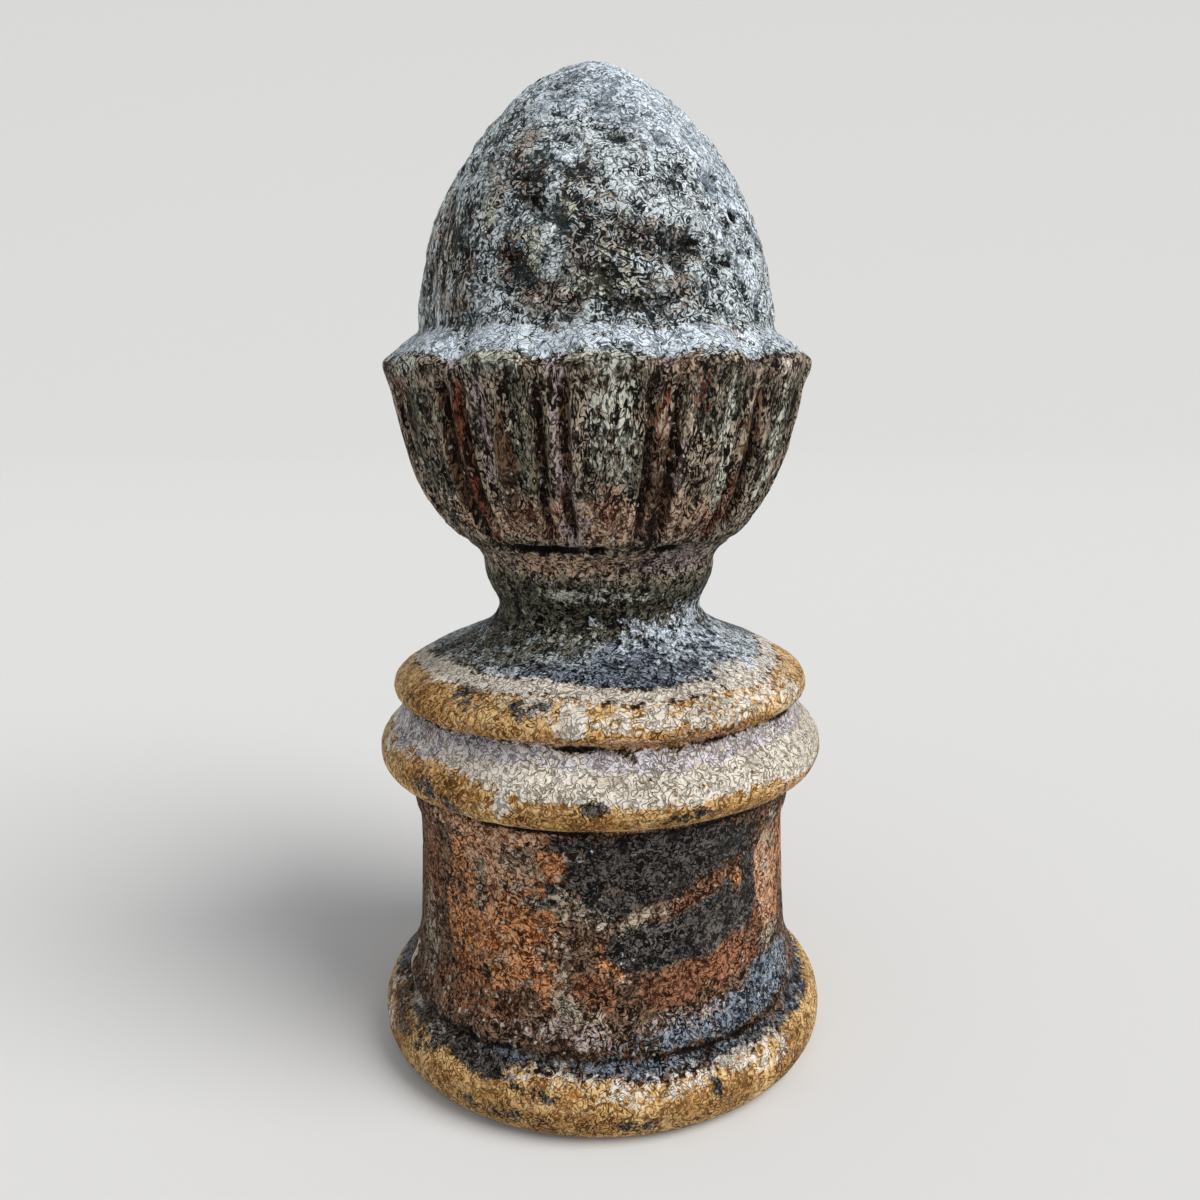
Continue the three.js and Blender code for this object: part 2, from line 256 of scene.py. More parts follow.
HOLLOWS = [
    Dent(-22.0, 363.0, 10.0, 13.0, 1.5),
    Dent(6.5, 386.0, 8.0, 8.0, 1.3),
    Dent(22.0, 339.0, 15.0, 6.0, 1.5),
    Dent(2.4, 331.0, 10.0, 9.0, 1.3),
    Dent(-24.0, 329.5, 9.0, 10.0, 1.5),
    Dent(12.0, 318.5, 13.0, 4.0, 1.6),
    Dent(-10.0, 350.0, 7.0, 9.0, 1.1),
    Dent(34.0, 322.0, 9.0, 7.0, 1.1),
    Dent(-50.0, 346.0, 6.0, 14.0, 1.2),
    Dent(-66.0, 332.0, 5.0, 14.0, 1.2),
    Dent(80.0, 335.0, 9.0, 12.0, 1.2),
    Dent(120.0, 350.0, 12.0, 9.0, 1.6),
    Dent(165.0, 330.0, 12.0, 8.0, 1.5),
    Dent(-160.0, 365.0, 12.0, 10.0, 1.6),
    Dent(-115.0, 340.0, 9.0, 13.0, 1.5),
]

# Where the acorn's upper right is worn smooth
RUBBED_SMOOTH = Dent(45.0, 392.0, 34.0, 26.0, 0.7)

# The open joints under the leaves
LEAF_SLITS = [
    Dent(-30.0, 228.6, 10.0, 1.4, 2.6),
    Dent(-16.0, 228.2, 8.0, 1.6, 3.0),
    Dent(-0.5, 228.6, 3.0, 1.4, 2.6),
    Dent(27.0, 228.4, 4.5, 1.2, 1.8),
    Dent(118.0, 228.4, 10.0, 1.4, 2.4),
    Dent(-150.0, 228.4, 9.0, 1.4, 2.4),
]


def dents(skin, places):
    depth = np.zeros(len(skin.height))
    for dent in places:
        reach = (skin.aside(dent.turn) / dent.wide) ** 2 + ((skin.height - dent.height) / dent.high) ** 2
        depth += dent.depth * np.exp(-reach)
    return depth


# The grain of the wear: how far apart its lumps, chips and runs lie, in millimetres
LUMPS_APART = 15
CHIPS_APART = 6.5
RUNS_APART = 5.5
RUN_LENGTH = 3.2

# How far that grain goes in and out, in millimetres, on the acorn, the cup and the turned members, and from
# how rough a place on the acorn has flaked deeper
ACORN_LUMPS = 1.0
ACORN_CHIPS = 1.0
ACORN_FLAKED = 1.6
FLAKED_FROM = 0.2
CUP_LUMPS = 0.35
CUP_RUNS = 0.4
TURNED_LUMPS = 0.2
TURNED_CHIPS = 0.16
FOOT_CHIPS = 0.25


def wear(skin):
    """How far, in millimetres, each point of the skin goes inwards, or outwards where this is below 0."""
    on_acorn = smooth_step(skin.height, ACORN_SEAT - 3, ACORN_SEAT + 4)
    on_cup = smooth_step(skin.height, COLLAR_TOP, CUP_SEAT + 4) * (1 - on_acorn)
    on_foot = skin.between(FOOT_EDGE + 2, COLLAR_TOP, 4)
    left = smooth_step(-skin.azimuth, 25, 65) * smooth_step(180 + skin.azimuth, 20, 60)
    lumps = skin.grain(LUMPS_APART)
    chips = skin.grain(CHIPS_APART)
    runs = skin.grain(RUNS_APART, stretch=RUN_LENGTH)
    rough = (1 - left) * chips + left * runs
    unrubbed = 1 - dents(skin, [RUBBED_SMOOTH])
    flaked = np.maximum(0.0, rough - FLAKED_FROM)
    acorn = unrubbed * (ACORN_LUMPS * lumps + ACORN_CHIPS * rough + ACORN_FLAKED * flaked)
    acorn += dents(skin, HOLLOWS)
    cup = CUP_LUMPS * lumps + CUP_RUNS * runs
    turned = TURNED_LUMPS * lumps + TURNED_CHIPS * chips + FOOT_CHIPS * on_foot * chips
    depth = on_acorn * acorn + on_cup * cup + (1 - on_acorn - on_cup) * turned
    depth += dents(skin, PITS) + dents(skin, LEAF_SLITS) + leaf_grooves(skin)
    return depth * smooth_step(skin.height, 1.5, 9.0)


def work_relief(piece):
    """Moves the skin by its wear, and thins it to the faces that it needs."""
    skin = Skin(piece)
    normals = np.empty(len(skin.points) * 3)
    piece.data.vertex_normals.foreach_get("vector", normals)
    places = (skin.points - normals.reshape(-1, 3) * wear(skin)[:, None]) * MM
    low, high = (np.array(corner) for corner in cad_box)
    piece.data.vertices.foreach_set("co", np.clip(places, low, high).ravel())
    piece.data.update()
    triangles = sum(len(face.vertices) - 2 for face in piece.data.polygons)
    finish_with(piece, "DECIMATE", ratio=SKIN_FACES / triangles)
    select_only(piece)
    bpy.ops.object.shade_smooth()


# A daub of paint: its azimuth and height, its half width and half height in millimetres, how fully it
# covers (above 0.5 more than half of the ground), and how far its right end is turned up, in degrees
Daub = namedtuple("Daub", "turn height wide high cover lean", defaults=(1.0, 0.0))


def laid(inside, reach, cover=1.0):
    """A stencil from millimetres inside its edge: 0.5 on the edge, at most the cover further in."""
    return np.clip(0.5 + inside / (2 * reach), 0.0, cover)


def daubs(skin, places, reach=3.0):
    stencil = np.zeros(len(skin.height))
    for daub in places:
        lean = math.radians(daub.lean)
        aside = skin.aside(daub.turn)
        above = skin.height - daub.height
        along = (aside * math.cos(lean) + above * math.sin(lean)) / daub.wide
        across = (above * math.cos(lean) - aside * math.sin(lean)) / daub.high
        inside = (1 - np.hypot(along, across)) * min(daub.wide, daub.high)
        stencil = np.maximum(stencil, laid(inside, reach, daub.cover))
    return stencil


def belt(skin, low, high, reach=1.5, cover=1.0):
    """A stencil that runs right round, its edges wandering a little."""
    drift = 0.8 * np.sin(np.radians(3 * skin.azimuth + 20)) + 0.6 * np.sin(np.radians(7 * skin.azimuth))
    inside = np.minimum(skin.height + drift - low, high - skin.height - drift)
    return laid(inside, reach, cover)


def scattered(seed, count, turns, heights, wide, high, covers):
    """Daubs for the sides that the photograph doesn't show."""
    chance = random.Random(seed)
    return [
        Daub(chance.uniform(*turns), chance.uniform(*heights), chance.uniform(*wide), chance.uniform(*high),
             chance.uniform(*covers))
        for _ in range(count)
    ]


# The azimuths that the photograph doesn't show, and the heights of the drum
BEHIND = (92, 268)
DRUM = (55, 112)


def clay_stencil(skin):
    """Bare orange terracotta where the paint has gone from the drum."""
    front = [
        Daub(-37, 86, 19, 34, 0.6),
        Daub(-28, 74, 14, 19, 0.78),
        Daub(-19, 88, 9, 13, 0.7),
        Daub(-14, 107, 7, 8, 0.72),
        Daub(-40, 60, 9, 9, 0.6),
        Daub(-15, 60, 6, 9, 0.72),
        Daub(2, 71.5, 4.5, 6.5, 0.88),
        Daub(43.5, 97, 3, 4, 0.76),
        Daub(62, 76, 9, 15, 0.74),
        Daub(66, 100, 8, 12, 0.55),
        Daub(84, 88, 14, 24, 0.6),
    ]
    behind = scattered(4, 11, BEHIND, DRUM, (8, 17), (8, 18), (0.6, 0.85))
    return daubs(skin, front + behind, 5)


def burnt_stencil(skin):
    """Darker, browner terracotta."""
    front = [
        Daub(24, 58, 20, 9, 0.86, 4),
        Daub(38, 62, 13, 10, 0.86, 8),
        Daub(50, 66, 7, 12, 0.7),
        Daub(-3, 56, 10, 8, 0.62),
        Daub(-62, 86, 10, 32, 0.56),
        Daub(-40, 48, 22, 7, 0.5),
        Daub(32, 96, 16, 5, 0.62, 12),
        Daub(58, 108, 10, 12, 0.56),
        Daub(-20, 9, 44, 6, 0.72),
        Daub(34, 8, 34, 5, 0.66),
    ]
    behind = scattered(5, 12, BEHIND, (40, 112), (9, 20), (8, 18), (0.55, 0.8))
    behind += scattered(6, 5, BEHIND, (6, 12), (12, 30), (4, 6), (0.55, 0.7))
    return daubs(skin, front + behind, 5)


def salmon_stencil(skin):
    """Pale orange dust on the band under the lower roll, the drum's right and the rolls' lower edges."""
    front = [
        Daub(-34, 120, 30, 5, 0.86),
        Daub(-14, 122, 12, 3, 0.8),
        Daub(10, 125.6, 60, 1.3, 0.74),
        Daub(-30, 105, 18, 9, 0.64),
        Daub(59, 92, 11, 21, 0.74),
        Daub(61, 70, 8, 14, 0.52),
        Daub(16, 160.5, 50, 1.8, 0.66),
        Daub(26, 150.5, 14, 1.2, 0.6, 2),
        Daub(53, 134, 12, 4, 0.56),
    ]
    behind = scattered(7, 8, BEHIND, (108, 124), (10, 24), (3, 6), (0.6, 0.8))
    return daubs(skin, front + behind, 2.5)


def buff_stencil(skin):
    """Grey and buff remains of the paint that covered the clay."""
    front = [
        Daub(9, 86.5, 8, 1.8, 0.62, 14),
        Daub(24, 93, 10, 2, 0.5, 14),
        Daub(-8, 92, 11, 4, 0.5, -16),
        Daub(-11, 58, 4, 11, 0.5),
        Daub(-6, 44, 12, 7, 0.5),
        Daub(-25, 94, 20, 22, 0.33),
        Daub(-24, 64, 14, 12, 0.3),
        Daub(59, 104, 8, 14, 0.5),
        Daub(60, 60, 9, 6, 0.72),
        Daub(-62, 62, 8, 18, 0.5),
    ]
    behind = scattered(9, 9, BEHIND, (42, 112), (7, 15), (7, 15), (0.45, 0.62))
    return daubs(skin, front + behind, 4)


def soot_stencil(skin):
    """Smooth black paint: the patch on the drum, in two sweeps, and what remains of it elsewhere."""
    front = [
        Daub(14, 108, 35, 16, 1, 6),
        Daub(31, 111, 22, 11, 1, 4),
        Daub(-8, 120, 10, 3.5, 0.8),
        Daub(2, 96, 12, 9, 0.9),
        Daub(-12, 98, 5, 5, 0.85),
        Daub(-18, 92, 6, 2.5, 0.62, -12),
        Daub(14, 75, 20, 9.5, 1),
        Daub(31, 79, 18, 11.5, 1, 14),
        Daub(43, 86, 10, 14),
        Daub(48, 92, 4, 19),
        Daub(-45, 138, 6, 4, 0.58, -14),
        Daub(-38, 134, 5, 2.4, 0.56, -14),
        Daub(-2, 138.5, 5, 2.6, 0.66),
        Daub(22, 134, 8, 1.6, 0.54, 6),
        Daub(-34, 28, 18, 3.6, 0.76, -6),
        Daub(-17, 22.5, 8, 2.2, 0.64, -8),
        Daub(27, 20, 1.8, 4.5, 0.8),
        Daub(8, 11, 8, 2.2, 0.52),
        Daub(-24, 12, 20, 2, 0.5),
        Daub(-58, 27, 24, 7, 0.5),
        Daub(-38, 172.5, 7, 2.6, 0.5, -6),
        Daub(-18, 172, 7, 2.4, 0.48),
    ]
    swept = [
        Daub(6, 86, 12, 2.2, 0.66, 16),
        Daub(22, 93, 12, 3.4, 0.54, 14),
        Daub(35, 99, 10, 6, 0.55, 12),
        Daub(42.5, 95, 3.6, 6.5, 0.9),
        Daub(4, 101, 8, 4, 0.44),
    ]
    behind = scattered(21, 7, BEHIND, (66, 118), (12, 26), (7, 13), (0.8, 1.0))
    behind += scattered(22, 7, BEHIND, (18, 29), (8, 16), (3, 5), (0.55, 0.75))
    return np.minimum(daubs(skin, front + behind, 2.5), 1 - daubs(skin, swept, 2.5))


def slate_stencil(skin):
    """Blue-grey paint on the foot, the cavetto and the top of the base roll."""
    front = [
        Daub(36, 40, 46, 6, 0.84, 2),
        Daub(58, 46, 22, 9, 0.95, 4),
        Daub(66, 28, 30, 6, 0.62, 10),
        Daub(-28, 30, 26, 2.6, 0.76),
        Daub(10, 29.5, 40, 2.4, 0.84),
        Daub(6, 23.5, 5, 5, 0.66),
        Daub(-6, 180, 26, 4, 0.9, 2),
        Daub(18, 184, 22, 8, 0.86, 2),
        Daub(45, 184, 26, 9, 0.85),
        Daub(42, 27.5, 17, 3.8, 0.78),
    ]
    behind = scattered(31, 8, BEHIND, (26, 48), (14, 30), (4, 9), (0.65, 0.9))
    behind += scattered(32, 4, BEHIND, (180, 192), (12, 22), (5, 9), (0.6, 0.85))
    return daubs(skin, front + behind, 4)


def green_grey_stencil(skin):
    """Grey-green paint of the foot, the waist and the acorn."""
    foot = belt(skin, FOOT_EDGE + 1, NECK_RING - 4, 2)
    acorn = belt(skin, CUP_LIP - 2, ACORN_TIP + 20, 2.5)
    return np.maximum(foot, acorn)


def olive_stencil(skin):
    """Olive black of the waist and foot, the leaves between their grooves, and the left of acorn and base."""
    front = [
        Daub(-62, 184, 30, 7, 0.6),
        Daub(-4, 190, 28, 5, 0.56),
        Daub(-26, 187, 14, 6, 0.56),
        Daub(-60, 25, 34, 10, 0.6),
        Daub(-64, 336, 18, 24, 0.5),
        Daub(-56, 268, 10, 26, 0.6),
        Daub(-18, 272, 7, 24, 0.66),
        Daub(12, 270, 6, 26, 0.6),
        Daub(32, 284, 12, 12, 0.66),
        Daub(64, 280, 14, 16, 0.66),
    ]
    behind = scattered(35, 8, BEHIND, (240, 292), (6, 10), (16, 28), (0.5, 0.7))
    return np.maximum(belt(skin, 189, 214, 4, 1.0), daubs(skin, front + behind, 4))


def cup_brown_stencil(skin):
    """Brown of the whole cup, down to its neck ring."""
    return belt(skin, NECK_RING - 6, CUP_LIP - 1, 2)


def umber_stencil(skin):
    """Warm brown of the cup's bowl and the collar."""
    front = [
        Daub(-20, 241, 17, 9, 0.95),
        Daub(2, 241, 14, 9, 0.86),
        Daub(26, 242, 16, 9, 0.8),
        Daub(-44, 241, 12, 8, 0.6),
        Daub(-12, 222, 26, 4, 0.6),
        Daub(20, 300, 7, 5, 0.6),
    ]
    behind = scattered(36, 8, BEHIND, (234, 250), (8, 16), (5, 9), (0.55, 0.8))
    return daubs(skin, front + behind, 4)


def stain_stencil(skin):
    """Dull brown blots on the acorn, and the dark band round the right of its foot."""
    front = [
        Daub(-29, 375, 5, 9, 0.54),
        Daub(-22, 364, 6, 8, 0.54),
        Daub(-7, 371, 7, 8, 0.5),
        Daub(-25, 337, 6, 10, 0.6),
        Daub(-4, 335, 8, 8, 0.62),
        Daub(-11, 322, 14, 6, 0.72),
        Daub(8, 342, 9, 6, 0.6),
        Daub(22, 341, 12, 7, 0.54),
        Daub(16, 323, 18, 6, 0.54),
        Daub(-46, 330, 10, 14, 0.6),
        Daub(-60, 345, 8, 18, 0.56),
        Daub(-40, 360, 8, 12, 0.5),
        Daub(0, 352, 9, 8, 0.5),
    ]
    behind = scattered(37, 14, BEHIND, (318, 395), (6, 11), (5, 11), (0.5, 0.7))
    return daubs(skin, front + behind, 5)


def ochre_and_shade_stencil(skin):
    """Deeper, browner gold low on the rolls and on their left: partly the gold's own tone, partly painted
    shade where the rolls turn under and away from the light.
    """
    front = [
        Daub(-44, 139, 20, 6, 0.6),
        Daub(-8, 133, 22, 3.4, 0.6),
        Daub(32, 133, 20, 3, 0.56),
        Daub(-52, 168, 16, 7, 0.62),
        Daub(-16, 163, 22, 3, 0.6),
        Daub(26, 162.5, 24, 2.4, 0.56),
        Daub(66, 140, 16, 9, 0.6),
        Daub(-70, 18, 24, 12, 0.7),
        Daub(-34, 15, 20, 6, 0.6),
        Daub(-12, 11, 30, 5, 0.66),
        Daub(28, 14, 22, 6, 0.58),
        Daub(52, 17, 18, 9, 0.66),
    ]
    behind = scattered(38, 14, BEHIND, (128, 172), (8, 20), (4, 8), (0.5, 0.68))
    behind += scattered(39, 8, BEHIND, (8, 24), (12, 24), (5, 9), (0.5, 0.7))
    return daubs(skin, front + behind, 4)


def old_gold_stencil(skin):
    """Ochre gold of the three rolls."""
    upper = belt(skin, COVE_TOP + 0.8, FOOT_EDGE - 3, 1.6)
    lower = belt(skin, 126.5, COVE_FOOT + 2, 2.2)
    base = belt(skin, -20, 27.5, 2.4, 0.95)
    return np.maximum(np.maximum(upper, lower), base)


def chalk_stencil(skin):
    """The chalky ground that shows where gold and grey have worn through."""
    worn_down = 7.5 * smooth_step(skin.azimuth, -48, -8) * (1 - smooth_step(skin.azimuth, 110, 165))
    cove = belt(skin, COVE_FOOT - worn_down, COVE_TOP + 0.2, 2.6, 0.9)
    foot_edge = belt(skin, FOOT_EDGE - 3, FOOT_EDGE + 0.6, 1.6, 0.86)
    front = [
        Daub(-7, 167.5, 6.5, 5.5, 0.9),
        Daub(10, 170, 18, 4, 0.56),
        Daub(34, 169, 20, 4.6, 0.58),
        Daub(58, 168, 14, 5, 0.5),
        Daub(-14, 172.5, 14, 2.6, 0.6),
        Daub(30, 143.5, 26, 4, 0.56),
        Daub(60, 145, 30, 9, 0.68),
        Daub(-23, 141.5, 2.6, 6.5, 0.9),
        Daub(-23, 137, 6, 2.2, 0.72),
        Daub(7, 140, 3, 3, 0.9),
        Daub(-70, 150, 16, 8, 0.6),
        Daub(-74, 22, 16, 8, 0.4),
        Daub(-54, 177, 16, 2.6, 0.7),
        Daub(50, 177, 20, 4, 0.86),
        Daub(14, 24.5, 22, 3.4, 0.52, 3),
        Daub(8, 21.5, 5, 4, 0.5),
        Daub(34, 25.5, 12, 3, 0.54),
        Daub(49, 24, 2.4, 4.5, 0.66),
        Daub(44, 23, 10, 4, 0.46),
        Daub(-77, 37, 2.2, 9, 0.9),
        Daub(-64, 31, 10, 2, 0.7, -10),
        Daub(-48, 29, 9, 1.8, 0.6, -8),
        Daub(-12, 26, 14, 2.2, 0.5),
        Daub(54, 297.5, 4, 3, 0.74),
        Daub(1, 84.8, 5, 1.8, 0.52),
        Daub(-10, 54, 4, 7, 0.5),
    ]
    behind = scattered(41, 10, BEHIND, (135, 175), (6, 20), (3, 7), (0.55, 0.85))
    behind += scattered(42, 7, BEHIND, (18, 32), (5, 14), (3, 5), (0.55, 0.8))
    return np.maximum(np.maximum(cove, foot_edge), daubs(skin, front + behind, 2.5))


def lilac_stencil(skin):
    """Lilac-grey staining high in the cove."""
    cove = belt(skin, COVE_FOOT + 4, COVE_TOP, 3, 0.62)
    left = daubs(skin, [Daub(-60, 151, 26, 5, 0.6)], 3)
    return np.maximum(cove, left)


def rust_stencil(skin):
    """Rust-brown runs down the cup, and a few specks low on the acorn."""
    front = [
        Daub(-39, 262, 4, 28, 0.78, -3),
        Daub(-18.5, 241, 8, 6, 0.5),
        Daub(3, 248, 3, 8, 0.5),
        Daub(17, 290, 2, 9, 0.52),
        Daub(16.5, 262, 1.4, 20, 0.46),
        Daub(26, 288, 4, 7, 0.44),
        Daub(48, 280, 2, 16, 0.46),
        Daub(40, 245, 6, 12, 0.5),
        Daub(-26, 336, 3, 5, 0.36),
        Daub(-12, 321.5, 6, 2.6, 0.36),
        Daub(-60, 285, 3, 10, 0.5),
    ]
    behind = scattered(51, 12, BEHIND, (236, 292), (2, 4), (8, 22), (0.55, 0.8))
    behind += scattered(52, 8, BEHIND, (320, 385), (3, 5), (4, 7), (0.36, 0.46))
    return daubs(skin, front + behind, 2.5)


def plum_stencil(skin):
    """Dull pink-brown between the leaves, on the neck and on the cavetto."""
    front = [
        Daub(-9, 270, 3.4, 30, 0.84),
        Daub(-30, 274, 2.6, 17, 0.84, -2),
        Daub(-7, 238, 6, 8, 0.6),
        Daub(21, 262, 3, 12, 0.55),
        Daub(15, 384, 6, 5, 0.44),
        Daub(38, 222, 20, 5, 0.66),
        Daub(20, 44, 16, 3, 0.5),
        Daub(-8, 41, 20, 4, 0.42),
    ]
    front += [Daub(gap, 304, 3.2, 8, 0.5) for gap in gap_azimuths()]
    behind = scattered(61, 8, BEHIND, (240, 290), (3, 6), (9, 22), (0.55, 0.8))
    return daubs(skin, front + behind, 2.5)


def lichen_stencil(skin):
    """Pale green-grey growth on the cup, the waist and the acorn."""
    front = [
        Daub(4, 276, 9, 20, 0.58),
        Daub(-27, 300, 13, 4, 0.74),
        Daub(-57, 300, 13, 4, 0.7),
        Daub(3, 300, 12, 3, 0.6),
        Daub(36, 266, 2.6, 24, 0.6, 4),
        Daub(57, 268, 2.4, 20, 0.54),
        Daub(10, 333, 3.5, 8, 0.62),
        Daub(3, 329, 4, 9, 0.58),
        Daub(-5.5, 325.5, 6, 2.6, 0.66),
        Daub(-19, 339, 4, 8, 0.58),
        Daub(-52, 347, 2.4, 12, 0.58),
        Daub(-60, 330, 2, 12, 0.58),
        Daub(-68, 350, 2, 10, 0.56),
        Daub(-36, 352, 3, 9, 0.52),
        Daub(-8, 357, 4, 7, 0.56),
        Daub(-1, 208, 18, 2.4, 0.56),
        Daub(-8, 193, 24, 2.6, 0.38),
        Daub(-72, 320, 10, 8, 0.44),
    ]
    behind = scattered(71, 10, BEHIND, (240, 300), (4, 9), (8, 18), (0.45, 0.62))
    behind += scattered(72, 9, BEHIND, (318, 400), (4, 8), (5, 12), (0.45, 0.62))
    return daubs(skin, front + behind, 2.5)


def pale_paint_and_sheen_stencil(skin):
    """Pale blue-grey paint, worn smooth, with a painted sheen over the acorn's upper right, and painted
    highlights on the shoulders of the leaves and the right of the foot.
    """
    front = [
        Daub(36, 402, 34, 28, 0.92),
        Daub(56, 376, 20, 26, 0.72),
        Daub(60, 345, 24, 24, 0.42),
        Daub(-13, 379, 3, 6, 0.6),
        Daub(-10, 402, 22, 12, 0.62),
        Daub(58, 190, 26, 9, 0.52),
    ]
    # Painted highlights on the shoulders of the leaves, whose tops face up into the light
    leafward = smooth_step(np.abs(from_gap(skin)) / leaf_pitch(skin), 0.05, 0.3)
    low = skin.height - (300.5 + 4.0 * leafward)
    high = 309.5 + 3.0 * leafward - skin.height
    shoulders = laid(np.minimum(low, high), 2.2, 0.72)
    behind = scattered(81, 6, BEHIND, (335, 400), (8, 20), (8, 16), (0.5, 0.65))
    return np.maximum(shoulders, daubs(skin, front + behind, 12))


def groove_shade_stencil(skin):
    """Painted shade: smooth dark brown in the grooves beside each gap's rib, and down two of the leaves."""
    beside = 2.0 - np.abs(np.abs(from_gap(skin)) - GROOVE_PLACE * leaf_pitch(skin))
    grooves = laid(beside, 1.6, 0.62) * skin.between(CUP_SEAT + 8, CUP_RIM - 4, 3)
    front = [
        Daub(-43, 264, 4, 27, 0.7, -3),
        Daub(-24.5, 266, 3.4, 20, 0.8, -3),
        Daub(18, 248, 2.2, 20, 0.9),
        Daub(46, 266, 3.4, 22, 0.7),
    ]
    return np.maximum(grooves, daubs(skin, front, 2))


def shadow_stencil(skin):
    """Painted shade: black in the creases, slits, pits and hollows, where shade falls."""
    front = [
        Daub(12, 320, 17, 3, 0.42),
        Daub(14, 322, 7, 2, 0.5),
        Daub(-25, 366, 2.4, 2.4, 0.5),
        Daub(-6, 391, 4, 2.6, 0.46),
        Daub(12, 393, 2.4, 2.6, 0.46),
        Daub(36, 362, 1.8, 1.8, 0.8),
        Daub(30, 342, 3.4, 1.6, 0.56),
        Daub(19, 342.5, 1.4, 3.6, 0.7),
        Daub(43, 334, 2, 1.6, 0.56),
        Daub(46, 349, 2.2, 2, 0.7),
        Daub(17.8, 238, 1.6, 9, 0.9),
        Daub(-5, 158.6, 9, 1.2, 0.85),
        Daub(29, 158, 6, 1.2, 0.8),
        Daub(58, 158.6, 8, 1.2, 0.6),
        Daub(63, 57, 7, 1.2, 0.85),
        Daub(26, 32.2, 34, 1.2, 0.78),
        Daub(-40, 33, 30, 1.4, 0.62),
        Daub(-24, 228.8, 16, 1.7, 1),
        Daub(-0.5, 228.8, 3.4, 1.4, 1),
        Daub(27, 228.8, 4.5, 1.2, 0.84),
    ]
    # Painted shade in the deepest hollows of the relief, and a painted shadow line under the lower roll
    hollow_shade = laid(wear(skin) - 2.9, 0.8)
    under_roll_shade = belt(skin, 122.8, 124.8, 1, 0.66)
    return np.maximum(np.maximum(hollow_shade, under_roll_shade), daubs(skin, front, 1.3))


STENCILS = {
    "clay": clay_stencil,
    "burnt": burnt_stencil,
    "green_grey": green_grey_stencil,
    "cup_brown": cup_brown_stencil,
    "olive": olive_stencil,
    "stain": stain_stencil,
    "umber": umber_stencil,
    "slate": slate_stencil,
    "old_gold": old_gold_stencil,
    "ochre_and_shade": ochre_and_shade_stencil,
    "salmon": salmon_stencil,
    "chalk": chalk_stencil,
    "lilac": lilac_stencil,
    "soot": soot_stencil,
    "buff": buff_stencil,
    "rust": rust_stencil,
    "lichen": lichen_stencil,
    "plum": plum_stencil,
    "pale_paint_and_sheen": pale_paint_and_sheen_stencil,
    "groove": groove_shade_stencil,
    "shadow": shadow_stencil,
}


def streaks(skin):
    """1 where the paint has run down in streaks: the cup, and the acorn's left side."""
    left = smooth_step(-skin.azimuth, 28, 60) * smooth_step(180 + skin.azimuth, 10, 50)
    return np.maximum(skin.between(CUP_SEAT, CUP_RIM, 4), left * smooth_step(skin.height, 300, 312))


# A crease's height, how far its painted shade reaches and how dark that shade is
Crease = namedtuple("Crease", "height reach thick")

# Painted shade along the creases between the members and over the waist
CREASES = [
    Crease(31.5, 4.0, 0.6),
    Crease(124.5, 3.5, 0.6),
    Crease(158.4, 3.0, 0.4),
    Crease(201.0, 15.0, 0.46),
    Crease(228.5, 4.0, 0.5),
    Crease(293.0, 6.0, 0.2),
    Crease(313.0, 4.0, 0.2),
]


def painted_shade(skin):
    """How strong the painted shade is, from 0 to 1: darker towards the bottom, and painted shade in the
    creases and in the hollows of the relief.
    """
    shade_amount = 0.4 * smooth_step(-skin.height, -22, -4)
    shade_amount += 0.6 * smooth_step(wear(skin), 0.6, 2.6)
    for crease in CREASES:
        away = (skin.height - crease.height) / crease.reach
        shade_amount = np.maximum(shade_amount, crease.thick * np.exp(-(away ** 2)))
    return shade_amount


def proudness(skin):
    """From -1 in the hollows of the relief to 1 on its high places."""
    return np.clip(0.4 - wear(skin), -1.0, 1.0)


def flecked(skin):
    """How many light flecks lie on the paint, from 0 to 1."""
    front = [
        Daub(-18, 274, 8, 26, 0.85),
        Daub(-56, 270, 14, 26, 0.6),
        Daub(4, 274, 12, 24, 0.55),
        Daub(30, 270, 14, 24, 0.45),
        Daub(-6, 87, 8, 4, 0.6),
        Daub(-26, 84, 20, 34, 0.35),
        Daub(-34, 40, 36, 10, 0.6),
        Daub(40, 38, 40, 8, 0.6),
    ]
    return np.maximum(daubs(skin, front, 6), 0.35 * skin.between(CUP_LIP, ACORN_TIP - 20, 6))


def keep(piece, name, values):
    piece.data.attributes.new(name, "FLOAT", "POINT").data.foreach_set("value", values)


def cut_stencils(piece):
    """Keeps each paint's stencil on the piece, for its material to break up and lay on."""
    skin = Skin(piece)
    for name, stencil in STENCILS.items():
        keep(piece, name, stencil(skin))
    for kept in (streaks, painted_shade, proudness, flecked):
        keep(piece, kept.__name__, kept(skin))


def linear(value):
    """The strength of the light that a screen value, 0 to 255, stands for."""
    share = value / 255
    return share / 12.92 if share <= 0.04045 else ((share + 0.055) / 1.055) ** 2.4


def colour(red, green, blue):
    """A colour from its screen values, 0 to 255."""
    return (linear(red), linear(green), linear(blue), 1)


# A paint's darker and lighter tone, how much of it is light, how rough it is, and how dark its crazing
Paint = namedtuple("Paint", "dark light share rough craze")

GROUND = Paint(colour(46, 29, 19), colour(140, 112, 90), 0.42, 0.8, 0.8)

